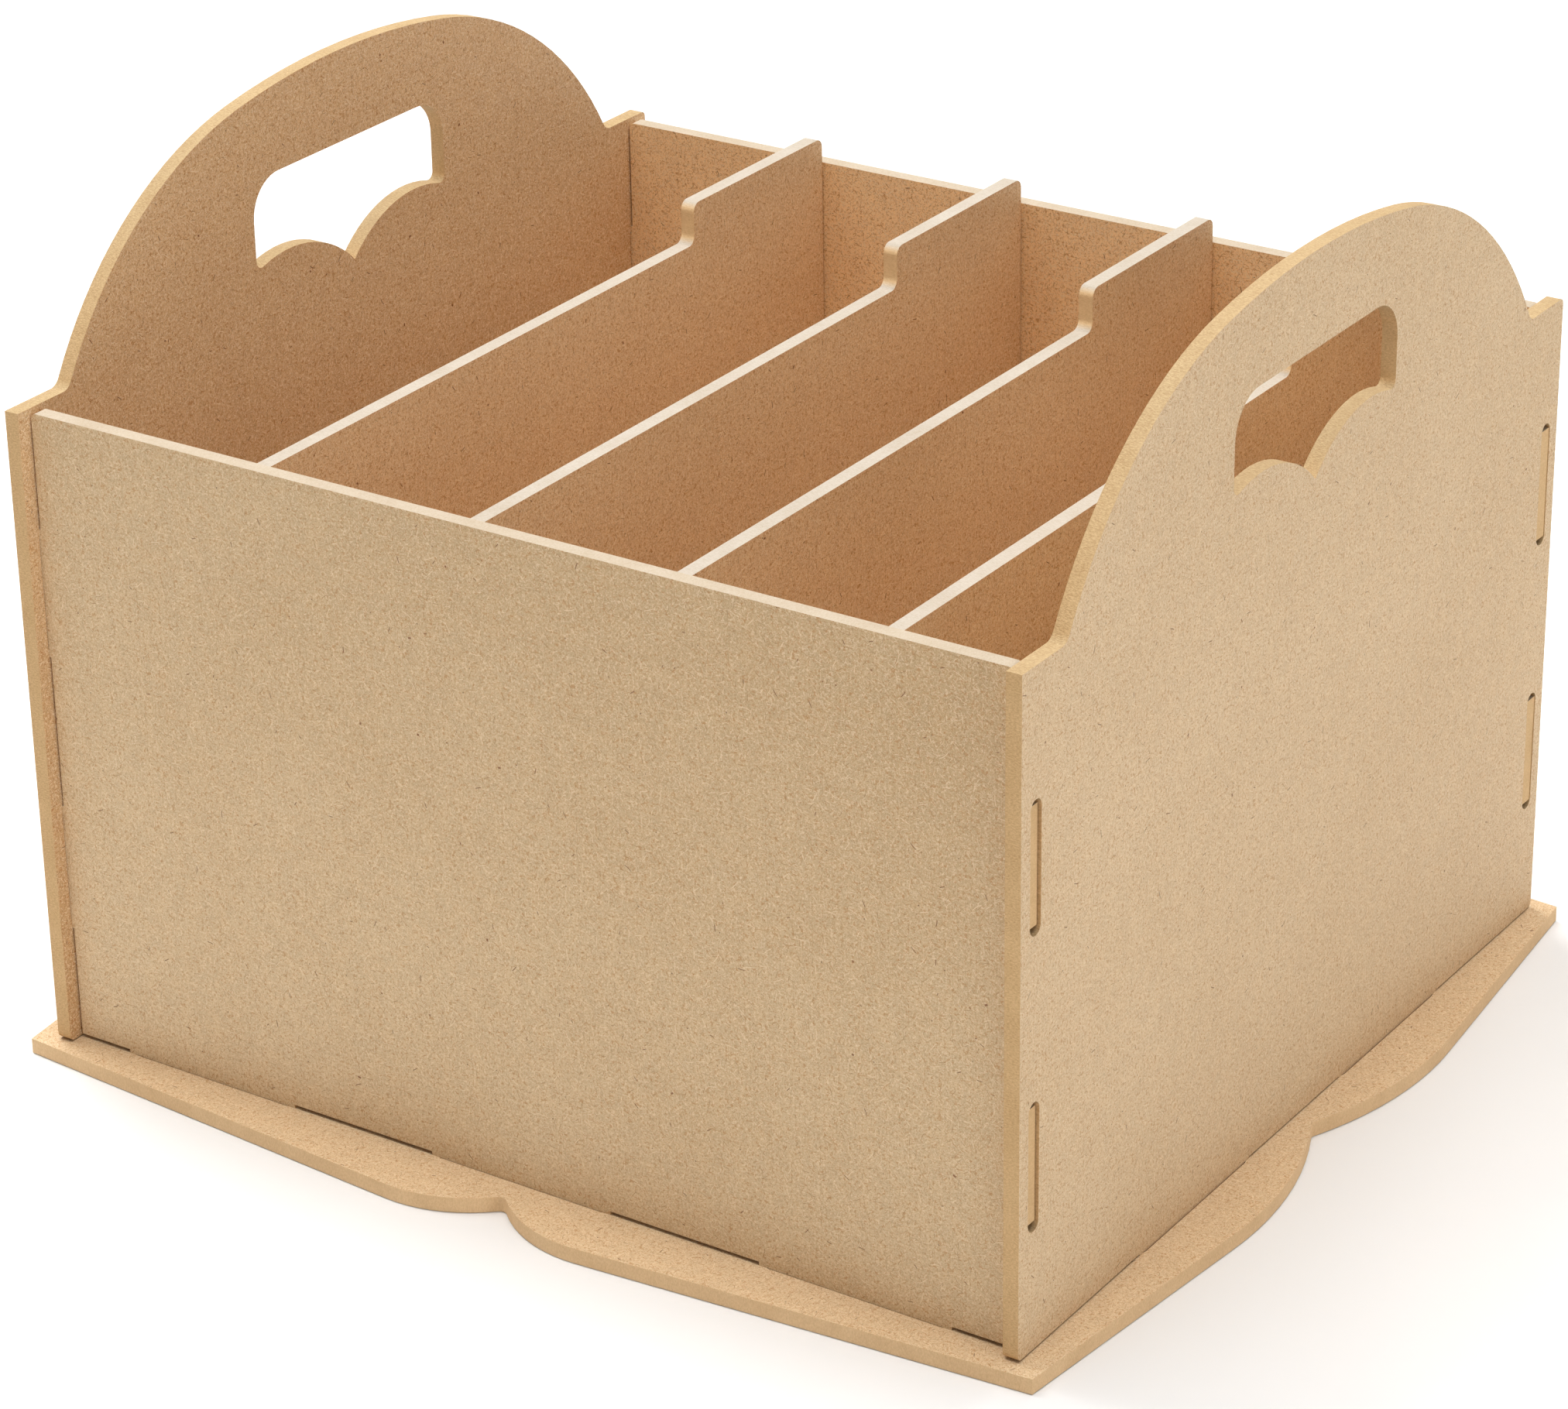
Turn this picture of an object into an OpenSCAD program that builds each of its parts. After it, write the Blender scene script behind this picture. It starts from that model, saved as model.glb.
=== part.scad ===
// Paint rack organizer: a carry caddy of slotted MDF boards with four lift-out dividers.
// Millimetres, +Z up, front at -Y, origin at the bottom centre of the base plate.

/* [Overall size] */
// outside width over the two side panels
rack_w = 282; // [240:1:330]
// front to back length of the side panels
rack_d = 260; // [230:1:310]
// height of the front and back walls above the base plate
wall_h = 169.5; // [130:0.5:200]
// thickness of every board
board_t = 4; // [3.5:0.1:4.5]

/* [Side panels] */
// how far the corners of the side panels stand above the walls
corner_rise = 1; // [0.5:0.5:8]
// length of the level shoulder at each end of the dome
shoulder_w = 18.5; // [12:0.5:24]
// height of the dome above the corners
dome_rise = 54.5; // [48:0.5:62]
// height of the top edge of the finger hole above the corners
hole_top_rise = 30.5; // [24:0.5:32]
// width of the finger hole
hole_w = 78; // [70:1:84]
// how far the walls are set in from the panel edges
wall_inset = 4.2; // [3:0.1:8]

/* [Dividers] */
// how far the low edge of the dividers lies under the wall tops
divider_drop = 4; // [0:0.5:10]
// height of the raised finger tab above the low edge
finger_tab_rise = 11; // [6:0.5:16]
// length of the raised finger tab
finger_tab_len = 61; // [40:1:80]
// place of divider 1, percent of the inner width from the left
divider_1_at = 22.6; // [18:0.1:27]
// place of divider 2, percent of the inner width from the left
divider_2_at = 45.3; // [40:0.1:50]
// place of divider 3, percent of the inner width from the left
divider_3_at = 66.2; // [60:0.1:72]
// place of divider 4, percent of the inner width from the left
divider_4_at = 86.5; // [80:0.1:90]

/* [Base plate] */
// how far the base corners stick out past the side panels
corner_out_x = 5.9; // [4:0.1:9]
// how far the base corners stick out past the panel ends
corner_out_y = 3.6; // [3:0.1:6]
// radius of the two bumps on the front and on the back edge
long_bump_r = 35; // [30:1:45]
// radius of the two bumps on each side edge
side_bump_r = 106; // [95:1:120]

/* [Joinery] */
// gap between a tab and its slot on each broad face
slot_gap = 0.3; // [0.2:0.05:0.4]
// length of the bottom tabs
foot_tab_len = 48; // [40:1:50]
// length of the wall end tabs
end_tab_len = 29.5; // [24:0.5:31]
// height of the slit under the walls and dividers between their tabs
slit_h = 1; // [0.6:0.1:1.5]

/* [Hidden] */

$fn = 96;
slot_w = board_t + 2 * slot_gap;
slot_extra = 3.5;              // a slot is this much longer than its tab, for the round ends
tab_short = 0.2;               // tab ends stop this far short of the far face
front_tab_short = 0.8;         // the front wall's end tabs stop further back
end_gap = 0.5;                 // wall ends clear of the side panels beside a tab
divider_gap = 0.3;             // a divider's ends clear of the walls
seat = 0.5;                    // a tab's shoulders reach this far past its slot
edge_r = 1.5;                  // rounded outer board corners
bit_r = 2;                     // inner corners left by the router bit
foot_r = 3.5;                  // inner corner at each foot of the dome
side_slit = 0.4;               // the side panels' slit is finer than slit_h
lean = 0.15;                   // the walls sit this far outwards in their slots

base_top = board_t;
corner_h = wall_h + corner_rise;
inner_w = rack_w - 2 * board_t;
wall_y = rack_d / 2 - wall_inset - board_t / 2;   // middle plane of a wall
wall_inner_y = wall_y - board_t / 2;
foot_at_side = 0.189 * rack_d; // middles of the side and divider bottom tabs
foot_at_wall = 0.336 * rack_w; // middles of the outer wall bottom tabs
end_tab_z = [0.283 * wall_h, 0.722 * wall_h];     // middles of the wall end tabs
divider_at = [divider_1_at, divider_2_at, divider_3_at, divider_4_at];
divider_h = wall_h - divider_drop;

// base outline: corners, bump circles and the notches between the bumps
base_cx = rack_w / 2 + corner_out_x;
base_cy = rack_d / 2 + corner_out_y;
long_bump_x = 0.72 * long_bump_r;
side_bump_y = 0.419 * side_bump_r;
long_notch_y = rack_d / 2 + 2.2;
side_notch_x = rack_w / 2 + 4.8;
long_bump_y = long_notch_y - sqrt(pow(long_bump_r, 2) - pow(long_bump_x, 2));
side_bump_x = side_notch_x - sqrt(pow(side_bump_r, 2) - pow(side_bump_y, 2));

// dome outline: a flat top arc running into a tighter arc on each side
dome_half = rack_d / 2 - shoulder_w;
top_r = 0.9 * rack_d;
join_a = 10.4;
apex_h = corner_h + dome_rise;
top_c = [0, apex_h - top_r];
join_dir = [sin(join_a), cos(join_a)];
foot_v = [dome_half, corner_h] - top_c;
side_r = (2 * top_r * (foot_v * join_dir) - foot_v * foot_v - top_r * top_r)
         / (2 * (foot_v * join_dir - top_r));
side_c = top_c + (top_r - side_r) * join_dir;
join_p = top_c + top_r * join_dir;
foot_fillet = [side_c[0] + sqrt(pow(side_r + foot_r, 2) - pow(corner_h + foot_r - side_c[1], 2)),
               corner_h + foot_r];

// finger hole outline: level top, two bumps below
hole_top = corner_h + hole_top_rise;
hole_corner_r = 10.5;
hole_bump_r = 36;
hole_bump = [26, hole_top - 21.5 - hole_bump_r];

function unit(v) = v / norm(v);
// point where the line from p touches the circle (c, r); s picks the side
function touch(p, c, r, s) =
    let (d = p - c, a = s * acos(r / norm(d)), u = unit(d))
    c + r * [u[0] * cos(a) - u[1] * sin(a), u[0] * sin(a) + u[1] * cos(a)];
function flip_x(p) = [-p[0], p[1]];

// slice of a disc beyond the chord from a to b
module arc_cap(c, r, a, b) {
    out = unit((a + b) / 2 - c) * r;
    intersection() {
        translate(c) circle(r = r, $fn = 360);
        polygon([a, b, b + out, a + out]);
    }
}

// points on the arc round c from a to b, the short way
function arc_points(c, a, b, steps = 10) =
    let (start = atan2(a[1] - c[1], a[0] - c[0]),
         turn = atan2(b[1] - c[1], b[0] - c[0]) - start,
         sweep = turn > 180 ? turn - 360 : turn < -180 ? turn + 360 : turn,
         r = norm(a - c))
    [for (i = [0 : steps]) c + r * [cos(start + sweep * i / steps), sin(start + sweep * i / steps)]];

// rounded inside corner: a patch from inner out to the router bit's arc a-b round c
module bit_corner(c, a, b, inner) {
    polygon(concat([inner], arc_points(c, a, b)));
}

module round_slot(len) {
    square([len - slot_w, slot_w], center = true);
    for (s = [-1, 1]) translate([s * (len - slot_w) / 2, 0]) circle(d = slot_w, $fn = 48);
}

// rectangle x0..x1, y0..y1 whose top left and top right corners take the radii rl and rr
module board_rect(x0, x1, y0, y1, rl, rr) {
    translate([x0 + rl, y0]) square([x1 - x0 - rl - rr, y1 - y0]);
    if (rl > 0) {
        translate([x0, y0]) square([rl + 1, y1 - rl - y0]);
        translate([x0 + rl, y1 - rl]) circle(r = rl, $fn = 48);
    }
    if (rr > 0) {
        translate([x1 - rr - 1, y0]) square([rr + 1, y1 - rr - y0]);
        translate([x1 - rr, y1 - rr]) circle(r = rr, $fn = 48);
    }
}

// bottom seat and tab of an upright, centred on x; the tab goes down through the base
module foot_tab(x) {
    seat_len = foot_tab_len + slot_extra + 2 * seat;
    translate([x - seat_len / 2, 0]) square([seat_len, slit_h + 1]);
    translate([x - foot_tab_len / 2, tab_short - board_t])
        square([foot_tab_len, board_t + slit_h]);
}

// outlines below stand on the base: y = 0 is the top of the base plate

module finger_hole() {
    pocket_x = hole_w / 2 - bit_r;
    up = sqrt(pow(hole_bump_r + bit_r, 2) - pow(pocket_x - hole_bump[0], 2));
    pocket = [pocket_x, hole_bump[1] + up];
    touch_p = hole_bump + hole_bump_r / (hole_bump_r + bit_r) * (pocket - hole_bump);
    difference() {
        board_rect(-hole_w / 2, hole_w / 2, hole_bump[1] + 10, hole_top, hole_corner_r, hole_corner_r);
        for (s = [-1, 1]) mirror([s < 0 ? 1 : 0, 0]) {
            translate(hole_bump) circle(r = hole_bump_r, $fn = 240);
            bit_corner(pocket, [hole_w / 2, pocket[1]], touch_p, [hole_w / 2 + 1, hole_bump[1]]);
        }
    }
}

module side_outline() {
    e = edge_r;
    difference() {
        union() {
            // the body under the dome
            polygon(concat(
                arc_points([-rack_d / 2 + e, side_slit + e], [-rack_d / 2, side_slit + e],
                           [-rack_d / 2 + e, side_slit]),
                arc_points([rack_d / 2 - e, side_slit + e], [rack_d / 2 - e, side_slit],
                           [rack_d / 2, side_slit + e]),
                arc_points([rack_d / 2 - e, corner_h - e], [rack_d / 2, corner_h - e],
                           [rack_d / 2 - e, corner_h]),
                [[-rack_d / 2, corner_h]]));
            // the dome
            polygon([[dome_half, corner_h], join_p, flip_x(join_p), [-dome_half, corner_h],
                     [-dome_half, corner_h - 20], [dome_half, corner_h - 20]]);
            arc_cap(top_c, top_r, join_p, flip_x(join_p));
            for (s = [-1, 1]) mirror([s < 0 ? 1 : 0, 0]) {
                arc_cap(side_c, side_r, [dome_half, corner_h], join_p);
                bit_corner(foot_fillet, [foot_fillet[0], corner_h],
                           side_c + side_r / (side_r + foot_r) * (foot_fillet - side_c),
                           [dome_half - 3, corner_h - 3]);
            }
            for (s = [-1, 1]) foot_tab(s * foot_at_side);
        }
        finger_hole();
        for (s = [-1, 1], z = end_tab_z) translate([s * wall_y, z]) rotate(90)
            round_slot(end_tab_len + slot_extra);
    }
}

module side_panel() {
    translate([0, 0, base_top]) rotate([90, 0, 90]) linear_extrude(board_t) side_outline();
}

// a wall seen from the front; short_by is how far its end tabs stop from the outer panel faces
module wall_outline(short_by) {
    zone = end_tab_len + slot_extra + 2 * seat;
    board_rect(-inner_w / 2 + end_gap, inner_w / 2 - end_gap, slit_h, wall_h, edge_r, edge_r);
    for (z = end_tab_z) {
        translate([-inner_w / 2, z - zone / 2]) square([inner_w, zone]);
        translate([-rack_w / 2 + short_by, z - end_tab_len / 2])
            square([rack_w - 2 * short_by, end_tab_len]);
    }
    for (s = [-1, 0, 1]) foot_tab(s * foot_at_wall);
}

module divider_outline() {
    y0 = -wall_inner_y + divider_gap;
    y1 = wall_inner_y - divider_gap;
    ys = wall_inner_y - finger_tab_len;
    top = divider_h + finger_tab_rise;
    r = bit_r + 0.5;
    e = edge_r;
    polygon(concat(
        [[y0, slit_h], [y1, slit_h]],
        arc_points([y1 - r, top - r], [y1, top - r], [y1 - r, top]),
        arc_points([ys + r, top - r], [ys + r, top], [ys, top - r]),
        arc_points([ys - r, divider_h + r], [ys, divider_h + r], [ys - r, divider_h]),
        arc_points([y0 + e, divider_h - e], [y0 + e, divider_h], [y0, divider_h - e])));
    for (s = [-1, 1]) foot_tab(s * foot_at_side);
}

module base_outline() {
    corner = [base_cx, base_cy];
    long_c = [long_bump_x, long_bump_y];
    side_bump = [side_bump_x, side_bump_y];
    long_t = touch(corner, long_c, long_bump_r, 1);
    side_t = touch(corner, side_bump, side_bump_r, -1);
    // middles of the router bit at the notches, and where its cut runs into a bump
    long_n = [0, long_bump_y + sqrt(pow(long_bump_r + bit_r, 2) - pow(long_bump_x, 2))];
    side_n = [side_bump_x + sqrt(pow(side_bump_r + bit_r, 2) - pow(side_bump_y, 2)), 0];
    long_j = long_c + long_bump_r / (long_bump_r + bit_r) * (long_n - long_c);
    side_j = side_bump + side_bump_r / (side_bump_r + bit_r) * (side_n - side_bump);
    for (mx = [0, 1], my = [0, 1]) mirror([mx, 0]) mirror([0, my]) {
        polygon(concat([[0, 0]],
            arc_points(side_n, side_n - [bit_r, 0], side_j, 6), [side_t, corner, long_t],
            arc_points(long_n, long_j, long_n - [0, bit_r], 6)));
        arc_cap(long_c, long_bump_r, long_t, long_j);
        arc_cap(side_bump, side_bump_r, side_t, side_j);
    }
}

module base_plate() {
    long_slot = foot_tab_len + slot_extra;
    color("#c9a36b") linear_extrude(board_t) difference() {
        base_outline();
        for (s = [-1, 1]) {
            for (x = [-(rack_w - board_t) / 2, (rack_w - board_t) / 2])
                translate([x, s * foot_at_side]) rotate(90) round_slot(long_slot);
            for (x = [-foot_at_wall, 0, foot_at_wall])
                translate([x, s * wall_y]) round_slot(long_slot);
            for (at = divider_at)
                translate([divider_x(at), s * foot_at_side]) rotate(90) round_slot(long_slot);
        }
    }
}

function divider_x(at) = -inner_w / 2 + at / 100 * inner_w;

module left_side_panel() color("#cda873") translate([-rack_w / 2, 0, 0]) side_panel();

module right_side_panel() color("#cda873") translate([inner_w / 2, 0, 0]) side_panel();

module wall(short_by) {
    translate([0, board_t / 2, base_top]) rotate([90, 0, 0])
        linear_extrude(board_t) wall_outline(short_by);
}

module front_wall() color("#d2b07c") translate([0, -wall_y - lean, 0]) wall(front_tab_short);

module back_wall() color("#d2b07c") translate([0, wall_y + lean, 0]) wall(tab_short);

module divider(i) {
    color("#c49a62") translate([divider_x(divider_at[i]) - board_t / 2, 0, base_top])
        rotate([90, 0, 90]) linear_extrude(board_t) divider_outline();
}

base_plate();
left_side_panel();
right_side_panel();
front_wall();
back_wall();
divider(0);  // divider_1
divider(1);  // divider_2
divider(2);  // divider_3
divider(3);  // divider_4
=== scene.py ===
"""Looks of the paint rack organizer: bare MDF boards under soft studio light."""

import math

import bpy
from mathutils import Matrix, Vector

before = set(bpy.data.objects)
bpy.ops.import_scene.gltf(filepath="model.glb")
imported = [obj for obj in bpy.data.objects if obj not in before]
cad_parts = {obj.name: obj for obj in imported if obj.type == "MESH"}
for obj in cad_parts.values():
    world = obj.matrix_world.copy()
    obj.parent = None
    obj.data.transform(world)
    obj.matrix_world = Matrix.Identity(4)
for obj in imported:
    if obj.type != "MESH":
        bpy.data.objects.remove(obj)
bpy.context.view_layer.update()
scene = bpy.context.scene


# ---------------------------------------------------------------- node helper

class Graph:
    """Wires shader nodes. Every value may be a number, a tuple or a socket."""

    def __init__(self, material):
        material.use_nodes = True
        self.tree = material.node_tree
        self.tree.nodes.clear()
        self.step = 0

    def node(self, kind, props=None, **inputs):
        n = self.tree.nodes.new("ShaderNode" + kind)
        n.location = (self.step % 12 * 190, -(self.step // 12) * 260)
        self.step += 1
        for key, value in (props or {}).items():
            setattr(n, key, value)
        for key, value in inputs.items():
            socket = n.inputs[int(key[1:])] if key[0] == "i" and key[1:].isdigit() \
                else n.inputs[key.replace("_", " ")]
            if isinstance(value, bpy.types.NodeSocket):
                self.tree.links.new(value, socket)
            else:
                socket.default_value = value
        return n

    def math(self, op, a, b=0.0, c=0.0):
        return self.node("Math", {"operation": op}, i0=a, i1=b, i2=c).outputs[0]

    def vec(self, op, a, b=(0, 0, 0)):
        return self.node("VectorMath", {"operation": op}, i0=a, i1=b).outputs[0]

    def scale(self, a, factor):
        return self.node("VectorMath", {"operation": "SCALE"}, i0=a, Scale=factor).outputs[0]

    def step_down(self, value, near, far):
        """1 where value is under near, falling smoothly to 0 at far."""
        return self.node("MapRange", {"interpolation_type": "SMOOTHSTEP"}, Value=value,
                         From_Min=near, From_Max=far, To_Min=1.0, To_Max=0.0).outputs[0]

    def remap(self, value, lo, hi, to_lo, to_hi):
        return self.node("MapRange", {}, Value=value, From_Min=lo, From_Max=hi,
                         To_Min=to_lo, To_Max=to_hi).outputs[0]

    def mix(self, factor, a, b, blend="MIX"):
        n = self.node("Mix", {"data_type": "RGBA", "blend_type": blend})
        for index, value in ((0, factor), (6, a), (7, b)):
            if isinstance(value, bpy.types.NodeSocket):
                self.tree.links.new(value, n.inputs[index])
            else:
                n.inputs[index].default_value = value
        return n.outputs[2]

    def lerp(self, factor, a, b):
        n = self.node("Mix", {"data_type": "FLOAT"})
        for index, value in ((0, factor), (2, a), (3, b)):
            self.tree.links.new(value, n.inputs[index])
        return n.outputs[0]

    def noise(self, vector, scale, detail=2.0, rough=0.5, dims="3D"):
        return self.node("TexNoise", {"noise_dimensions": dims}, Vector=vector,
                         Scale=scale, Detail=detail, Roughness=rough).outputs[0]


def rgb(r, g, b):
    """sRGB 0-255 to a linear colour."""
    def lin(c):
        c /= 255.0
        return c / 12.92 if c <= 0.04045 else ((c + 0.055) / 1.055) ** 2.4
    return (lin(r), lin(g), lin(b), 1.0)


# ------------------------------------------------------------------ materials

DARK = rgb(158, 108, 60)
RUST = rgb(190, 130, 72)
PALE = rgb(243, 220, 184)

# fine hairs: offset, scale, width, share, colour, strength
HAIRS = (
    (0.0, 1.15, 0.080, 0.8, DARK, 0.28),
    (31.7, 0.90, 0.070, 0.8, PALE, 0.46),
    (77.1, 1.50, 0.090, 0.9, PALE, 0.30),
    (119.3, 0.75, 0.055, 0.7, RUST, 0.48),
)
# single fibres and specks, mm: cell, half length, half width, share, bend, colour, strength
STROKES = (
    (1.2, 0.55, 0.060, 0.60, 1.6, RUST, 0.46),
    (2.0, 1.00, 0.065, 0.60, 1.5, PALE, 0.56),
    (3.2, 1.05, 0.070, 0.45, 1.4, DARK, 0.50),
    (5.5, 1.70, 0.085, 0.42, 1.2, PALE, 0.66),
    (9.0, 1.00, 0.110, 0.25, 1.6, rgb(124, 72, 38), 0.70),
    (7.0, 0.22, 0.140, 0.20, 0.0, rgb(112, 64, 34), 0.70),
    (24.0, 0.50, 0.280, 0.20, 2.0, rgb(136, 80, 44), 0.70),
)
STRONGEST = 0.95               # no fibre covers the board more than this
RELIEF = 0.00014               # depth of the bump, in metres


def strokes(g, flat, cell, half_len, half_wid, share, bend, seed):
    """Short bent fibres, one at most in each Voronoi cell, lying every way."""
    spot = g.vec("ADD", g.scale(flat, 1.0 / cell), (seed * 7.31, seed * -3.77, 0))
    v = g.node("TexVoronoi", {"voronoi_dimensions": "2D"}, Vector=spot, Scale=1.0)
    rand = g.node("SeparateColor", {}, Color=v.outputs["Color"]).outputs
    local = g.vec("SUBTRACT", spot, v.outputs["Position"])
    turn = g.math("MULTIPLY", rand[0], math.tau)
    local = g.node("VectorRotate", {"rotation_type": "Z_AXIS"}, Vector=local,
                   Angle=turn).outputs[0]
    x, y, _ = g.node("SeparateXYZ", {}, Vector=local).outputs
    curve = g.math("MULTIPLY", g.math("MULTIPLY", x, x),
                   g.math("MULTIPLY", g.math("SUBTRACT", rand[2], 0.5), bend))
    y = g.math("ABSOLUTE", g.math("ADD", y, curve))
    x = g.math("ABSOLUTE", x)
    long = g.math("MULTIPLY", g.math("MULTIPLY_ADD", rand[2], 0.8, 0.4), half_len / cell)
    along = g.math("DIVIDE", x, long)
    body = g.step_down(y, half_wid * 0.5 / cell, half_wid * 1.3 / cell)
    ends = g.step_down(along, 0.6, 1.0)
    there = g.math("LESS_THAN", rand[1], share)
    return g.math("MULTIPLY", g.math("MULTIPLY", body, ends), there)


def hairs(g, spot, scale, width, share):
    """Fine curled hairs: thin level lines of a soft noise, broken into short runs."""
    n = g.noise(spot, scale, 1.0, 0.5, "2D")
    line = g.step_down(g.math("ABSOLUTE", g.math("SUBTRACT", n, 0.5)), 0.0, width)
    other = g.noise(g.vec("ADD", spot, (57.3, 21.9, 0)), scale * 1.25, 0.0, 0.5, "2D")
    keep = g.remap(other, 0.62 - share * 0.25, 0.70 - share * 0.25, 0.0, 1.0)
    return g.math("MULTIPLY", line, keep)


def shade(g, value):
    """A tint to multiply by: what is darker is also a little warmer."""
    red = g.math("MULTIPLY_ADD", value, 0.75, 0.25)
    blue = g.math("MULTIPLY_ADD", value, 1.35, -0.35)
    return g.node("CombineColor", {}, Red=red, Green=value, Blue=blue).outputs[0]


def mdf(name, axis, seed, face, edge, fuzz, grain, shade_gradient):
    """Bare MDF: a sanded face with fibres and specks, and a furrier cut edge.

    axis is the board's thin way, face and edge are two tones each; the edge's two are
    painted light, one copy where it lies level and one where it stands upright. fuzz is
    how furry the cut edge is, grain how strongly the fibres show on the face, and the last
    argument is painted shade: how the face tone brightens or darkens across the board, per mm.
    """
    mat = bpy.data.materials.new(name)
    g = Graph(mat)
    coord = g.node("TexCoord")
    place = g.scale(coord.outputs["Object"], 1000.0)
    mm = g.vec("ADD", place, (seed * 131.0,) * 3)
    x, y, z = g.node("SeparateXYZ", {}, Vector=mm).outputs
    u, v = {"X": (y, z), "Y": (x, z), "Z": (x, y)}[axis]
    flat = g.node("CombineXYZ", {}, X=u, Y=v).outputs[0]
    normal = g.node("SeparateXYZ", {}, Vector=coord.outputs["Normal"]).outputs
    facing = g.math("ABSOLUTE", normal["XYZ".index(axis)])
    is_face = g.node("MapRange", {"interpolation_type": "SMOOTHSTEP"}, Value=facing,
                     From_Min=0.72, From_Max=0.95, To_Min=0.0, To_Max=1.0).outputs[0]

    # the sanded face: painted shade across the board, cloudy tone, felted fibre mass, single
    # fibres, specks
    cloud = g.noise(flat, 0.018, 3.0, 0.6, "2D")
    mottle = g.noise(flat, 0.20, 4.0, 0.62, "2D")
    felt = g.noise(flat, 2.6, 2.0, 0.75, "2D")
    # painted shade: the face tone brightens or darkens with position across the board
    slope = g.node("VectorMath", {"operation": "DOT_PRODUCT"}, i0=place, i1=shade_gradient)
    light = g.math("ADD", 1.0, slope.outputs["Value"])
    for value, swing in ((cloud, 0.035), (mottle, 0.024), (felt, 0.08 * grain)):
        light = g.math("ADD", light, g.remap(value, 0.3, 0.7, -swing, swing))
    base = g.mix(g.remap(mottle, 0.35, 0.65, 0.0, 1.0), face[0], face[1])
    base = g.mix(1.0, base, shade(g, light), "MULTIPLY")
    for offset, scale, width, share, colour, strength in HAIRS:
        mask = hairs(g, g.vec("ADD", flat, (offset, -offset, 0)), scale, width, share)
        base = g.mix(g.math("MULTIPLY", mask, min(strength * grain, STRONGEST)), base, colour)
    for cell, half_len, half_wid, share, bend, colour, strength in STROKES:
        mask = strokes(g, flat, cell, half_len, half_wid, share, bend, cell + seed)
        base = g.mix(g.math("MULTIPLY", mask, min(strength * grain, STRONGEST)), base, colour)

    # the cut edge: short furry dashes across the board, with painted light: one copy of the edge
    # tone where it lies level and another where it stands upright
    squeeze = {"X": (1.5, 3.0, 3.0), "Y": (3.0, 1.5, 3.0), "Z": (3.0, 3.0, 1.5)}[axis]
    fur = g.noise(g.vec("MULTIPLY", mm, squeeze), 1.0, 3.0, 0.7)
    run = g.noise(mm, 0.09, 3.0, 0.6)
    tuft = g.math("ADD", g.remap(fur, 0.3, 0.7, 1 - 0.16 * fuzz, 1 + 0.16 * fuzz),
                  g.remap(run, 0.3, 0.7, -0.06, 0.06))
    # painted light: level and upright cut edges take two copies of the edge tone
    level = g.remap(g.math("ABSOLUTE", normal[2]), 0.35, 0.9, 0.0, 1.0)
    rim = g.mix(1.0, g.mix(level, edge[1], edge[0]), shade(g, tuft), "MULTIPLY")

    colour = g.mix(is_face, rim, base)
    height = g.lerp(is_face, g.math("MULTIPLY", fur, 1.6 * fuzz), felt)
    relief = g.node("Bump", {}, Strength=0.5, Distance=RELIEF, Height=height)
    rough = g.math("ADD", g.remap(mottle, 0.3, 0.7, 0.60, 0.70),
                   g.math("MULTIPLY", g.math("SUBTRACT", 1.0, is_face), 0.18))
    shader = g.node("BsdfPrincipled", {}, Base_Color=colour, Roughness=rough,
                    Normal=relief.outputs[0])
    shader.inputs["Specular IOR Level"].default_value = 0.28
    out = g.node("OutputMaterial")
    g.tree.links.new(shader.outputs[0], out.inputs[0])
    return mat


# a face has two tones; a cut edge has one where it lies level and one where it stands upright,
# painted light: two copies of one edge tone for how the light falls on them
FRONT = (rgb(219, 191, 151), rgb(223, 193, 151))
TAN = (rgb(223, 193, 153), rgb(226, 195, 154))
# painted shade and light: the divider and left panel tones are darker, warmer copies of the tan
# for the shaded inside, and the back wall tone is a lighter copy
INNER_SHADED = (rgb(211, 173, 129), rgb(214, 176, 130))
LEFT_SHADED = (rgb(205, 166, 121), rgb(208, 169, 122))
BACK_LIT = (rgb(238, 199, 148), rgb(241, 202, 149))
WALL_EDGE = (rgb(184, 168, 146), rgb(222, 184, 134))
DIVIDER_EDGE = (rgb(184, 172, 156), rgb(238, 203, 154))
PANEL_EDGE = (rgb(184, 156, 115), rgb(213, 175, 125))
BASE_EDGE = (rgb(220, 190, 148), rgb(232, 196, 150))

# thin way, face tones, edge tones, fuzz, grain, drift: see mdf()
# the last column is painted shade: lighter towards the top on the left panel, the dividers and the
# back wall; on the front wall darker towards the right and the top, partly painted shade and
# partly the board's own tone
LOOKS = {
    "base_plate": ("Z", TAN, BASE_EDGE, 0.7, 1.2, (0, 0, 0)),
    "left_side_panel": ("X", LEFT_SHADED, PANEL_EDGE, 1.6, 1.6, (0, 0, 0.0013)),
    "right_side_panel": ("X", TAN, PANEL_EDGE, 1.6, 1.15, (0, 0, 0)),
    "front_wall": ("Y", FRONT, WALL_EDGE, 0.7, 1.2, (-0.0003, 0, -0.0009)),
    "back_wall": ("Y", BACK_LIT, WALL_EDGE, 0.7, 1.5, (0, 0, 0.0008)),
}
for number in range(1, 5):
    LOOKS[f"divider_{number}"] = ("X", INNER_SHADED, DIVIDER_EDGE, 0.7, 1.5, (0, 0, 0.0014))

for order, (name, (axis, face, edge, fuzz, grain, shade_gradient)) in enumerate(LOOKS.items()):
    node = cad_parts[name]
    node.data.materials.clear()
    node.data.materials.append(
        mdf("mdf_" + name, axis, order + 1, face, edge, fuzz, grain, shade_gradient))


# ---------------------------------------------------------------- floor, light

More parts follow.
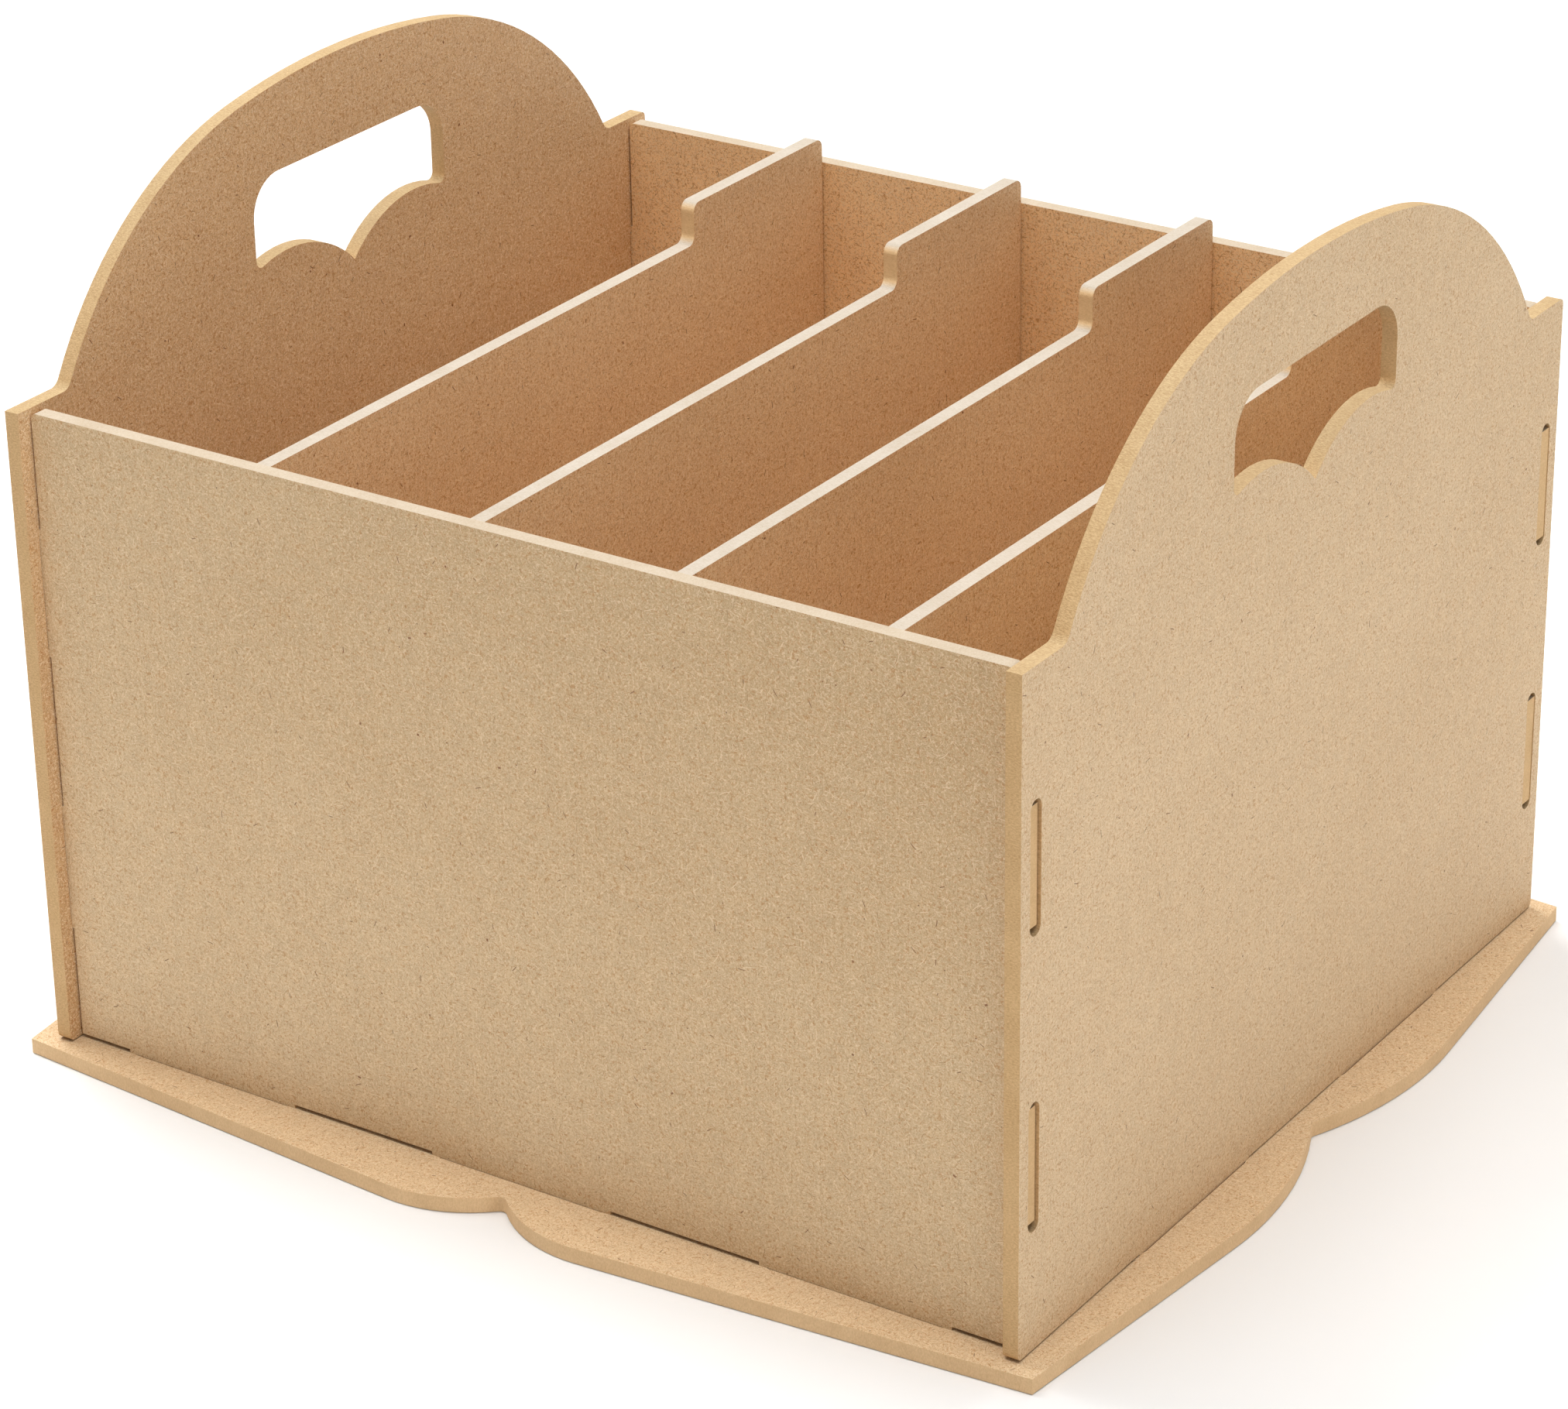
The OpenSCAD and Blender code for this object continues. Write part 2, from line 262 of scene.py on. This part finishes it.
def plain(name, colour, rough):
    mat = bpy.data.materials.new(name)
    g = Graph(mat)
    speck = g.noise(g.node("TexCoord").outputs["Object"], 40.0, 3.0)
    tone = g.mix(speck, colour, tuple(c * 0.985 for c in colour[:3]) + (1.0,))
    shader = g.node("BsdfPrincipled", {}, Base_Color=tone, Roughness=rough)
    g.tree.links.new(shader.outputs[0], g.node("OutputMaterial").inputs[0])
    return mat


bpy.ops.mesh.primitive_plane_add(size=12.0, location=(0, 0, -0.0002))
floor = bpy.context.object
floor.name = "studio_floor"
floor.data.materials.append(plain("studio_floor", (0.93, 0.93, 0.93, 1.0), 0.9))


def turned(name, profile, steps=96):
    """An object made by turning (radius, height) points round Z."""
    turns = [math.tau * i / steps for i in range(steps)]
    points = [(r * math.cos(t), r * math.sin(t), h) for r, h in profile for t in turns]
    faces = []
    for low in range(0, (len(profile) - 1) * steps, steps):
        for i in range(steps):
            j = (i + 1) % steps
            faces.append((low + i, low + j, low + steps + j, low + steps + i))
    mesh = bpy.data.meshes.new(name)
    mesh.from_pydata(points, [], faces)
    obj = bpy.data.objects.new(name, mesh)
    scene.collection.objects.link(obj)
    return obj


def sweep(name, start, full, wall, height):
    """A white paper sweep round the stage: it fades in over the floor and rises to a wall.

    It is seen but lights nothing, so the lamps alone shape the object.
    """
    lift = 0.0005              # just over the floor
    curve = wall - full
    bend = [math.radians(a) for a in range(10, 91, 10)]
    rise = [(full + curve * math.sin(a), curve * (1 - math.cos(a))) for a in bend]
    obj = turned(name, [(start, lift), (full, lift)] + rise + [(wall, height), (0.001, height)])
    mat = bpy.data.materials.new(name)
    g = Graph(mat)
    reach = g.node("VectorMath", {"operation": "LENGTH"}, i0=g.node("TexCoord").outputs["Object"])
    fade = g.step_down(reach.outputs["Value"], start, full)
    glow = g.node("Emission", {}, Strength=1.0)
    clear = g.node("BsdfTransparent")
    mixed = g.node("MixShader", {}, i0=fade, i1=glow.outputs[0], i2=clear.outputs[0])
    g.tree.links.new(mixed.outputs[0], g.node("OutputMaterial").inputs[0])
    obj.data.materials.append(mat)
    obj.visible_diffuse = obj.visible_glossy = obj.visible_transmission = False
    obj.visible_shadow = False


sweep("studio_sweep", start=0.5, full=1.2, wall=4.5, height=4.0)

world = bpy.data.worlds.new("studio")
scene.world = world
world.use_nodes = True
world.node_tree.nodes["Background"].inputs["Color"].default_value = (1.0, 1.0, 1.0, 1)
world.node_tree.nodes["Background"].inputs["Strength"].default_value = 0.08


def soft_light(name, place, aim, size, power):
    lamp = bpy.data.lights.new(name, "AREA")
    lamp.shape = "RECTANGLE"
    lamp.size = lamp.size_y = size
    lamp.energy = power
    obj = bpy.data.objects.new(name, lamp)
    scene.collection.objects.link(obj)
    obj.location = place
    obj.rotation_mode = "QUATERNION"
    obj.rotation_quaternion = (Vector(aim) - Vector(place)).to_track_quat("-Z", "Y")
    obj.visible_camera = False


# name, place, aim, size in metres, watts
soft_light("top_softbox", (0.1, -0.1, 1.7), (0, 0, 0), 1.6, 30.5)
soft_light("left_softbox", (-1.0, 0.25, 1.75), (0, 0, 0.1), 1.2, 29.0)
soft_light("right_softbox", (1.9, -0.5, 0.6), (0, 0, 0.1), 1.3, 7.3)
soft_light("front_softbox", (-0.5, -1.9, 0.8), (0, 0, 0.1), 1.4, 2.5)
soft_light("back_softbox", (0.2, 1.7, 1.5), (0, 0, 0.1), 1.2, 9.0)

lens = bpy.data.cameras.new("camera")
camera = bpy.data.objects.new("camera", lens)
scene.collection.objects.link(camera)
scene.camera = camera
lens.sensor_width = 36.0
lens.lens = 116.52
lens.clip_start, lens.clip_end = 0.05, 30.0
camera.location = (0.63675, -0.95779, 0.62577)
camera.rotation_euler = [math.radians(a) for a in (64.6154, 0.8291, 33.4953)]

scene.view_settings.view_transform = "Standard"
